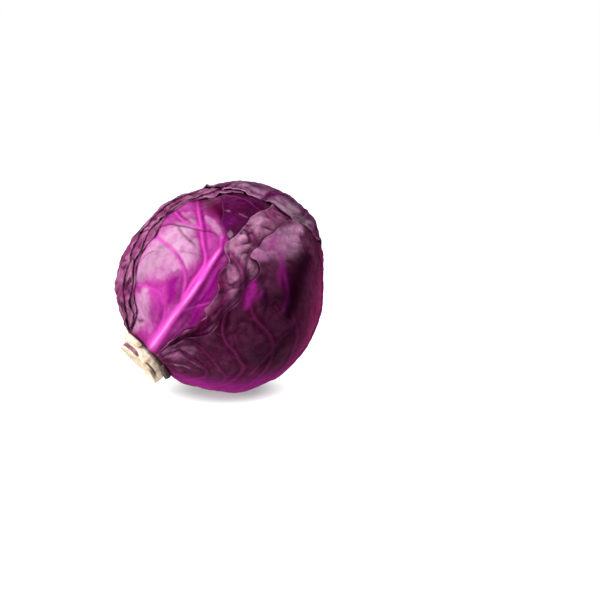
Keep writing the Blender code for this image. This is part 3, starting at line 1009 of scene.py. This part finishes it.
def maths(tree, operation, first, second=0.0, clamp=False):
    node = tree.nodes.new("ShaderNodeMath")
    node.operation = operation
    node.use_clamp = clamp
    feed(tree, node.inputs, (first, second))
    return node.outputs[0]


def times(tree, first, second):
    return maths(tree, "MULTIPLY", first, second)


def blend_colours(tree, factor, first, second):
    node = tree.nodes.new("ShaderNodeMix")
    node.data_type = "RGBA"
    feed(tree, (node.inputs[0], node.inputs[6], node.inputs[7]), (factor, first, second))
    return node.outputs[2]


def remap(tree, value, low, high, to_low=0.0, to_high=1.0):
    node = tree.nodes.new("ShaderNodeMapRange")
    node.interpolation_type = "SMOOTHSTEP"
    tree.links.new(value, node.inputs["Value"])
    for key, number in (("From Min", low), ("From Max", high), ("To Min", to_low), ("To Max", to_high)):
        node.inputs[key].default_value = number
    return node.outputs["Result"]


def attribute(tree, name):
    node = tree.nodes.new("ShaderNodeAttribute")
    node.attribute_name = name
    return node.outputs["Fac"]


def noise(tree, coords, scale, detail=3.0, roughness=0.55):
    node = tree.nodes.new("ShaderNodeTexNoise")
    tree.links.new(coords, node.inputs["Vector"])
    node.inputs["Scale"].default_value = scale
    node.inputs["Detail"].default_value = detail
    node.inputs["Roughness"].default_value = roughness
    return node


def add_bump(tree, shader, strength, distance, height):
    """Lets a height roughen a shader's surface."""
    node = tree.nodes.new("ShaderNodeBump")
    sockets = [node.inputs[key] for key in ("Strength", "Distance", "Height")]
    feed(tree, sockets, (strength, distance, height))
    tree.links.new(node.outputs["Normal"], shader.inputs["Normal"])


def leaf_skin_group():
    """Cabbage skin: veins, a fine net of veinlets, waxy film, pale rims, painted highlights and painted
    shade.
    """
    group = bpy.data.node_groups.new("cabbage skin", "ShaderNodeTree")
    for side, kind, names in (
        ("INPUT", "NodeSocketColor", ("Deep", "Bright", "Vein", "Bloom", "Glow", "Rim", "Ember")),
        ("INPUT", "NodeSocketFloat", ("Net", "Waxiness", "Polish")),
        ("OUTPUT", "NodeSocketColor", ("Color",)),
        ("OUTPUT", "NodeSocketFloat", ("Roughness", "Coat", "Height")),
    ):
        for name in names:
            group.interface.new_socket(name, in_out=side, socket_type=kind)
    given = group.nodes.new("NodeGroupInput").outputs
    result = group.nodes.new("NodeGroupOutput").inputs
    coords = group.nodes.new("ShaderNodeTexCoord").outputs["Object"]

    broad = noise(group, coords, 34.0, 2.0)
    mottle = noise(group, coords, 170.0, 4.0, 0.6)
    grain = noise(group, coords, 900.0, 3.0, 0.6)
    bend = noise(group, coords, 120.0, 2.0)
    push = group.nodes.new("ShaderNodeVectorMath")
    push.operation = "MULTIPLY_ADD"
    group.links.new(bend.outputs["Color"], push.inputs[0])
    push.inputs[1].default_value = (0.004, 0.004, 0.004)
    group.links.new(coords, push.inputs[2])
    nets = []
    for scale, width in ((150.0, 0.09), (420.0, 0.12)):
        net = group.nodes.new("ShaderNodeTexVoronoi")
        net.feature = "DISTANCE_TO_EDGE"
        group.links.new(push.outputs[0], net.inputs["Vector"])
        net.inputs["Scale"].default_value = scale
        nets.append(remap(group, net.outputs["Distance"], 0.0, width, 1.0, 0.0))
    net = maths(group, "MAXIMUM", nets[0], times(group, nets[1], 0.45))
    net = times(group, net, given["Net"])

    tint = remap(group, broad.outputs["Fac"], 0.36, 0.66)
    tint = maths(group, "ADD", times(group, tint, 0.65),
                 times(group, remap(group, mottle.outputs["Fac"], 0.4, 0.7), 0.35))
    colour = blend_colours(group, tint, given["Deep"], given["Bright"])
    colour = blend_colours(group, attribute(group, "glow"), colour, given["Glow"])
    # painted shade, and on the night purple leaf painted rim light; veins and wax fade under it
    colour = blend_colours(group, attribute(group, "ember"), colour, given["Ember"])
    # wax film, also laid on in the shapes of painted highlights
    bloom = times(group, attribute(group, "bloom"),
                  remap(group, mottle.outputs["Fac"], 0.34, 0.62, 0.6, 1.0))
    bloom = times(group, bloom, given["Waxiness"])
    clean = maths(group, "MAXIMUM", attribute(group, "glow"), attribute(group, "ember"))
    bloom = times(group, bloom, maths(group, "SUBTRACT", 1.0, clean))
    colour = blend_colours(group, bloom, colour, given["Bloom"])
    veins = maths(group, "MAXIMUM", times(group, attribute(group, "vein"), 0.85), net, True)
    veins = times(group, veins, remap(group, attribute(group, "ember"), 0.0, 0.9, 1.0, 0.0))
    colour = blend_colours(group, veins, colour, given["Vein"])
    # painted shade toward the stump
    base = times(group, attribute(group, "base"), 0.75)
    colour = blend_colours(group, base, colour, BASE_TINT)
    # painted shade: creases, wrinkles, blister walls, outer leaves' edges, the base and other patches
    shade = maths(group, "MULTIPLY", attribute(group, "shade"), 0.95, True)
    colour = blend_colours(group, shade, colour, CREASE_TINT)
    # pale rims, and the painted highlight along the midrib
    colour = blend_colours(group, attribute(group, "rim"), colour, given["Rim"])
    group.links.new(colour, result["Color"])

    rough = maths(group, "ADD", 0.36, times(group, bloom, 0.20))
    rough = maths(group, "ADD", rough, times(group, grain.outputs["Fac"], 0.10))
    group.links.new(rough, result["Roughness"])
    coat = remap(group, attribute(group, "gloss"), 0.0, 1.0, 0.03, 1.0)
    coat = times(group, coat, given["Polish"])
    dry = maths(group, "SUBTRACT", 1.0, attribute(group, "shade"))
    group.links.new(times(group, coat, dry), result["Coat"])
    height = maths(group, "ADD", times(group, net, 0.6),
                   times(group, mottle.outputs["Fac"], 0.8))
    height = maths(group, "ADD", height, times(group, grain.outputs["Fac"], 0.25))
    group.links.new(height, result["Height"])
    return group


def leaf_material(name, group, **values):
    """The cabbage skin with a leaf's own colours, net, waxiness and polish."""
    material, tree, shader = new_material(name)
    skin = tree.nodes.new("ShaderNodeGroup")
    skin.node_tree = group
    feed(tree, [skin.inputs[key] for key in values], values.values())
    for source, goal in (("Color", "Base Color"), ("Roughness", "Roughness"), ("Coat", "Coat Weight")):
        tree.links.new(skin.outputs[source], shader.inputs[goal])
    add_bump(tree, shader, 0.55, 0.0005, skin.outputs["Height"])
    shader.inputs["Coat Roughness"].default_value = 0.28
    shader.inputs["Specular IOR Level"].default_value = 0.012
    return material


SKIN = leaf_skin_group()
# In each finish the last colour is for painted shade, and on the night purple leaf for painted rim light
FINISHES = {
    "bright": leaf_material(
        "bright magenta leaf", SKIN, Deep=(0.18, 0.003, 0.115), Bright=(0.33, 0.015, 0.225),
        Vein=(0.70, 0.085, 0.49), Bloom=(0.375, 0.20, 0.31), Glow=(0.18, 0.0003, 0.13),
        Rim=(0.64, 0.24, 0.50), Ember=(0.052, 0.0003, 0.018), Net=0.04, Waxiness=0.95, Polish=0.22),
    "plum": leaf_material(
        "dark plum leaf", SKIN, Deep=(0.030, 0.0002, 0.015), Bright=(0.060, 0.0006, 0.034),
        Vein=(0.24, 0.04, 0.17), Bloom=(0.32, 0.15, 0.26), Glow=(0.085, 0.0005, 0.065),
        Rim=(0.33, 0.14, 0.27), Ember=(0.14, 0.002, 0.055), Net=0.06, Waxiness=0.8, Polish=0.2),
    "mauve": leaf_material(
        "mauve bloomed leaf", SKIN, Deep=(0.090, 0.008, 0.045), Bright=(0.19, 0.035, 0.12),
        Vein=(0.30, 0.08, 0.21), Bloom=(0.45, 0.205, 0.34), Glow=(0.25, 0.02, 0.22),
        Rim=(0.38, 0.20, 0.31), Ember=(0.075, 0.002, 0.030), Net=0.12, Waxiness=0.95, Polish=0.2),
    # this leaf's glow colour also paints the bounce light along its bottom
    "night": leaf_material(
        "night purple leaf", SKIN, Deep=(0.024, 0.0006, 0.008), Bright=(0.066, 0.005, 0.028),
        Vein=(0.27, 0.034, 0.165), Bloom=(0.37, 0.125, 0.28), Glow=(0.35, 0.013, 0.24),
        Rim=(0.27, 0.11, 0.20), Ember=(0.34, 0.016, 0.13), Net=0.08, Waxiness=0.95, Polish=0.15),
}


def stump_material():
    """Pale woody tissue with fibres and brown patches, purple skin where a leaf stood, and painted shade
    in the gaps.
    """
    material, tree, shader = new_material("woody stump")
    coords = tree.nodes.new("ShaderNodeTexCoord").outputs["Object"]
    patches = noise(tree, coords, 150.0, 5.0, 0.6)
    fibres = noise(tree, coords, 650.0, 4.0, 0.65)
    colour = blend_colours(tree, remap(tree, patches.outputs["Fac"], 0.40, 0.66), *WOOD)
    fibre = remap(tree, fibres.outputs["Fac"], 0.52, 0.72, 0.0, 0.55)
    colour = blend_colours(tree, fibre, colour, FIBRE)
    colour = blend_colours(tree, times(tree, attribute(tree, "cut"), 0.85), colour, CUT_FACE)
    colour = blend_colours(tree, times(tree, attribute(tree, "brown"), 0.5), colour, BROWN)
    skin = blend_colours(tree, remap(tree, patches.outputs["Fac"], 0.45, 0.62), *SCAR_SKIN)
    colour = blend_colours(tree, attribute(tree, "skin"), colour, skin)
    # painted shade in the split, on the neck under the leaves and on the lower trimmed leaf
    colour = blend_colours(tree, attribute(tree, "dark"), colour, GAP)
    tree.links.new(colour, shader.inputs["Base Color"])
    rough = remap(tree, fibres.outputs["Fac"], 0.3, 0.7, 0.55, 0.85)
    tree.links.new(rough, shader.inputs["Roughness"])
    add_bump(tree, shader, 0.6, 0.0006, fibres.outputs["Fac"])
    return material


STUMP_WOOD = stump_material()


def stem_places(radius, angle, height):
    """Points round the stump's axis, from radius, angle and height along it."""
    centre = CENTRE + UPPER_LEFT * STUMP_SHIFT
    return (centre + FRONT * (radius * np.cos(angle))[..., None]
            + UPPER_LEFT * (radius * np.sin(angle))[..., None] + STEM * height[..., None])


def sector(angles, start, end, soft):
    """One inside a sector of the stump, from start to end in degrees, with soft sides."""
    middle, half = math.radians((start + end) / 2), math.radians((end - start) / 2)
    turn = np.abs((angles - middle + math.pi) % (2 * math.pi) - math.pi)
    return 1 - smooth_step(half - math.radians(soft), half + math.radians(soft), turn)


def make_stump():
    """A grid turned into a solid of revolution, then worn, split and grooved."""
    around, up = STUMP_GRID
    outline = curve_through(
        ((0, STUMP_FOOT), (NECK_RADIUS * 0.6, STUMP_FOOT), (NECK_RADIUS, STUMP_FOOT + 0.6),
         (NECK_RADIUS, 70), (NECK_RADIUS + 0.2, 75.5), (STUMP_RADIUS - 0.9, 78.0), (STUMP_RADIUS, 80.6),
         (STUMP_RADIUS + 0.1, 83.6), (STUMP_RADIUS - 0.4, 85.6), (STUMP_RADIUS - 1.6, STUMP_TOP + 0.1),
         (STUMP_RADIUS * 0.5, STUMP_TOP - 0.3), (0, STUMP_TOP - 0.6)), 12)
    lengths = np.linalg.norm(np.diff(outline, axis=0), axis=1)
    run = np.concatenate(((0.0,), np.cumsum(lengths)))
    goals = np.linspace(0, run[-1], up + 1)
    radius = np.interp(goals, run, outline[:, 0])
    height = np.interp(goals, run, outline[:, 1])
    angles, radii = np.meshgrid(np.linspace(0, 2 * math.pi, around + 1), np.maximum(radius, 0))
    heights = np.repeat(height[:, None], around + 1, axis=1)
    angles[:, -1] = angles[:, 0]
    share = radii / STUMP_RADIUS
    round_way = np.stack((np.cos(angles), np.sin(angles), angles * 0), -1)
    spot = np.stack((np.cos(angles) * radii, np.sin(angles) * radii, heights), -1)
    grain = np.stack((np.cos(angles) * 20, np.sin(angles) * 20, heights * 0.15), -1)
    top = smooth_step(*STUMP_FACE, heights)
    wall = smooth_step(*STUMP_WALL, heights) * (1 - top)

    # slightly out of round, with shallow fibres down the wall and a slightly dished cut
    radii = radii * (1 + 0.022 * ripple(round_way, 2.6, 5)) + share * 0.22 * ripple(grain, 5.0, 6) * wall
    radii = radii + share * 0.12 * ripple(spot, 6.0, 7)
    ends = np.sin(angles) ** 2
    heights = heights + 1.6 * ends * share**2 * smooth_step(80, 86, heights)
    heights = heights + (0.25 * ripple(spot, 9.0, 8) + 0.10 * ripple(spot, 3.0, 9)) * top
    heights = heights + (0.3 * hump(share - 0.74, 0.05) - 0.5 * hump(share, 0.32)) * top

    # the skin of a leaf that stood at the upper side, and a split at the lower side
    low = 84.8 - 3.2 * sector(angles, 10, 150, 16)
    scar = smooth_step(low - 0.5, low + 0.5, heights) * (1 - smooth_step(84.6, 85.4, heights))
    scar = scar * sector(angles, 8, 128, 6)
    level = 84.0 + 0.9 * np.sin(3 * angles)
    split = sector(angles, -56, -14, 8) * hump(heights - level, 0.6)
    wedge = sector(angles, -60, -30, 8) * smooth_step(level, level + 0.8, heights) * (1 - top)
    radii = radii - (1.3 * scar + 2.2 * split + 0.9 * wedge)

    stump = add_grid("stump_wood", around, up)
    place_vertices(stump, stem_places(radii, angles, heights).reshape(-1, 3))
    rim = hump(share - 0.95, 0.035) * top
    mark(stump, "cut", top)
    mark(stump, "brown", smooth_step(0.3, 1.5, ripple(spot, 8.0, 12)) * (1 - 0.6 * top) + 0.6 * rim)
    mark(stump, "skin", np.maximum(scar, wedge * 0.8))
    # painted shade in the split and on the neck, where it lies deep under the leaves
    mark(stump, "dark", np.maximum(split, 1 - smooth_step(75.0, 78.2, heights)))
    close_seams()
    bpy.ops.object.shade_smooth_by_angle(angle=math.radians(50))
    return stump


def close_seams():
    """Merges the seam and the poles of the grid just wrapped round, and faces it outwards."""
    edit_all(bpy.ops.mesh.remove_doubles, threshold=0.00002)
    edit_all(bpy.ops.mesh.normals_make_consistent, inside=False)


# Each trimmed leaf: where it starts and ends round the stump, its heights, its walls, and how brown it is,
# which also sets its painted shade
CUT_BASES = {
    "cut_base_upper": (22, 108, (76.0, 81.2), (4.6, 3.4), 0.0),
    "cut_base_back": (152, 215, (76.6, 80.5), (4.6, 3.0), 0.5),
    "cut_base_lower": (246, 318, (75.4, 80.0), (4.2, 2.8), 1.0),
}


def make_cut_base(name, start, end, heights, walls, brown):
    """A block bent round the stump: purple skin outside, pale where the knife went through."""
    base = add_primitive(name + "_stub", bpy.ops.mesh.primitive_cube_add, size=1)
    edit_all(bpy.ops.mesh.subdivide, number_cuts=20)
    along, out, up = (read_vertices(base) + 0.5).T
    # round the block's edges
    out_round = out - (0.5 - np.sqrt(np.clip(0.25 - (up - 0.5) ** 2, 0, 1))) * (out - 0.5) * 0.7
    fullness = np.sqrt(np.clip(np.sin(math.pi * np.clip(along, 0.0, 1)), 0, 1))
    wall = (walls[0] * (1 - up) + walls[1] * up) * (0.35 * (1 - fullness) + fullness)
    rise = (heights[1] - heights[0]) * (0.45 * (1 - fullness) + fullness)
    angle = np.radians(start + (end - start) * along)
    spot = np.stack((along * 30, out * 6, up * 6), -1)
    rough = 0.25 * ripple(spot, 5, 21) + 0.12 * ripple(spot, 2.2, 22)
    radius = STUMP_RADIUS + 0.4 + wall * out_round + rough * out
    height = heights[0] + rise * up + rough * up
    place_vertices(base, stem_places(radius, angle, height))
    mark(base, "cut", np.maximum(smooth_step(0.75, 0.95, up), 1 - 2 * brown))
    mark(base, "brown", smooth_step(0.2, 1.2, ripple(spot, 6, 23)) * 0.7 + brown * 0.5)
    rind = 0.10 + 0.5 * (1 - smooth_step(0.0, 0.35, up))
    outside = smooth_step(0.75, 0.95, out) * (1 - smooth_step(0.6, 0.9, up))
    mark(base, "skin", np.maximum(brown * outside, (1 - brown) * rind))
    # painted shade, over the lower part of the brown trimmed leaves and most of the brownest
    mark(base, "dark", np.maximum(brown * (1 - smooth_step(0.0, 0.4, up)), 1.3 * brown - 0.5))
    edit_all(bpy.ops.mesh.normals_make_consistent, inside=False)
    bpy.ops.object.shade_smooth_by_angle(angle=math.radians(40))
    return base


def make_heart():
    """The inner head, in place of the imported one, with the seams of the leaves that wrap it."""
    heart = add_primitive("heart_packed", bpy.ops.mesh.primitive_uv_sphere_add, segments=128,
                          ring_count=80, radius=1)
    ways = unit(read_vertices(heart)) @ np.stack((FRONT, UPPER_LEFT, STEM))
    wall, value = cells(ways * MEAN_RADIUS, 30, 91)
    relief = -0.5 * (1 - smooth_step(0, 2.5, wall)) + 0.12 * ripple(ways * MEAN_RADIUS, 8, 92)
    radius = layer_radius(ways, 0) + relief - INSET - HEART_GAP
    reach = radius * (ways @ STEM)
    radius = np.where(reach > STUMP_FOOT - 0.5, radius * (STUMP_FOOT - 0.5) / np.maximum(reach, 1), radius)
    place_vertices(heart, CENTRE + ways * radius[:, None])
    mark(heart, "shade", 0.6 * (1 - smooth_step(0, 2.5, wall)))
    mark(heart, "bloom", value * 0.5)
    bpy.ops.object.shade_smooth()
    return heart


def hand_over(piece, node, material):
    """Gives a piece its material, its place in the table and the node that it stands for."""
    piece.data.materials.clear()
    piece.data.materials.append(material)
    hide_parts(node)
    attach(piece, "root")


def make_all_leaves():
    """Every leaf, from the innermost layer outwards, each over the ones made before it."""
    blades = {name: Blade(d["left"], d["middle"], d["right"], d["spacing"])
              for name, d in LEAVES.items()}
    pile = Pile()
    for name, details in LEAVES.items():
        leaf = make_leaf(name, details, blades, pile)
        hand_over(leaf, name, FINISHES[details["finish"]])


def make_stage():
    """A plain white floor. It glows a little, as a lit white table does, and more far away."""
    floor = add_primitive("floor", bpy.ops.mesh.primitive_circle_add, vertices=96,
                          radius=FLOOR_RADIUS, fill_type="NGON", location=(0, 0, -FLOOR_DROP))
    material, tree, shader = new_material("white floor")
    shader.inputs["Base Color"].default_value = (0.30, 0.30, 0.30, 1.0)
    shader.inputs["Specular IOR Level"].default_value = 0.0
    shader.inputs["Roughness"].default_value = 0.5
    shader.inputs["Emission Color"].default_value = WHITE
    coords = tree.nodes.new("ShaderNodeTexCoord").outputs["Object"]
    reach = tree.nodes.new("ShaderNodeVectorMath")
    reach.operation = "LENGTH"
    shifted = tree.nodes.new("ShaderNodeVectorMath")
    tree.links.new(coords, shifted.inputs[0])
    shifted.inputs[1].default_value = SHADOW_SHIFT
    tree.links.new(shifted.outputs[0], reach.inputs[0])
    seen = remap(tree, reach.outputs["Value"], *SHADOW_REACH, FLOOR_GLOW, 1.0)
    bounced = remap(tree, reach.outputs["Value"], *BOUNCE_REACH, FLOOR_BOUNCE, 0.0)
    path = tree.nodes.new("ShaderNodeLightPath").outputs
    glow = maths(tree, "ADD", times(tree, seen, path["Is Camera Ray"]),
                 times(tree, bounced, path["Is Diffuse Ray"]))
    tree.links.new(glow, shader.inputs["Emission Strength"])
    floor.data.materials.append(material)


def add_pointed(name, data, place, way):
    """Adds a lamp or a camera that looks along a vector, with its top upwards."""
    thing = bpy.data.objects.new(name, data)
    bpy.context.scene.collection.objects.link(thing)
    thing.location = place
    thing.rotation_euler = Vector(way).to_track_quat("-Z", "Y").to_euler()
    return thing


def add_light(name, bearing, rise, distance, width, height, power):
    """A softbox aimed at the head's centre."""
    way = on_bearing(bearing, rise)
    data = bpy.data.lights.new(name, "AREA")
    data.shape = "RECTANGLE"
    data.size = width
    data.size_y = height
    data.energy = power
    add_pointed(name, data, CENTRE * MM + way * distance, -way)


# Each softbox: its bearing and rise, its distance, width and height in metres, and its power
SOFTBOXES = {
    "left softbox": (205, 27, 0.8, 1.2, 0.8, 19.0),
    "right softbox": (24, 36, 1.0, 0.8, 0.45, 8.5),
    "top softbox": (285, 68, 1.0, 0.6, 0.5, 6.0),
    "back softbox": (110, 32, 1.5, 1.2, 0.8, 6.0),
}


def make_lights():
    """The softboxes, and a world that looks white to the camera but lights the head little."""
    for name, values in SOFTBOXES.items():
        add_light(name, *values)
    world = bpy.data.worlds.new("white studio")
    bpy.context.scene.world = world
    world.use_nodes = True
    tree = world.node_tree
    dim = tree.nodes["Background"]
    dim.inputs["Color"].default_value = WHITE
    dim.inputs["Strength"].default_value = 0.02
    white = tree.nodes.new("ShaderNodeBackground")
    white.inputs["Color"].default_value = WHITE
    white.inputs["Strength"].default_value = 1.0
    path = tree.nodes.new("ShaderNodeLightPath")
    mix = tree.nodes.new("ShaderNodeMixShader")
    tree.links.new(path.outputs["Is Camera Ray"], mix.inputs[0])
    tree.links.new(dim.outputs[0], mix.inputs[1])
    tree.links.new(white.outputs[0], mix.inputs[2])
    tree.links.new(mix.outputs[0], tree.nodes["World Output"].inputs["Surface"])
    bpy.context.scene.view_settings.view_transform = "Standard"


def make_camera():
    """The photograph's view: slightly from above, with the head left of the frame's middle."""
    rise = math.radians(FRONT_RISE)
    right = np.array((1.0, 0.0, 0.0))
    up = np.array((0.0, math.sin(rise), math.cos(rise)))
    distance = LENS / SENSOR * FRAME_PIXELS * MM_PER_PIXEL
    shift_x = (HEAD_PIXEL[0] - FRAME_PIXELS / 2) * MM_PER_PIXEL
    shift_y = (HEAD_PIXEL[1] - FRAME_PIXELS / 2) * MM_PER_PIXEL
    place = CENTRE - right * shift_x + up * shift_y + FACING * distance
    data = bpy.data.cameras.new("camera")
    data.lens = LENS
    data.sensor_width = SENSOR
    bpy.context.scene.camera = add_pointed("camera", data, place * MM, -FACING)


make_camera()
make_stage()
make_lights()
make_all_leaves()
hand_over(make_heart(), "heart", FINISHES["bright"])
hand_over(make_stump(), "stump", STUMP_WOOD)
for base_name, base_details in CUT_BASES.items():
    hand_over(make_cut_base(base_name, *base_details), base_name, STUMP_WOOD)
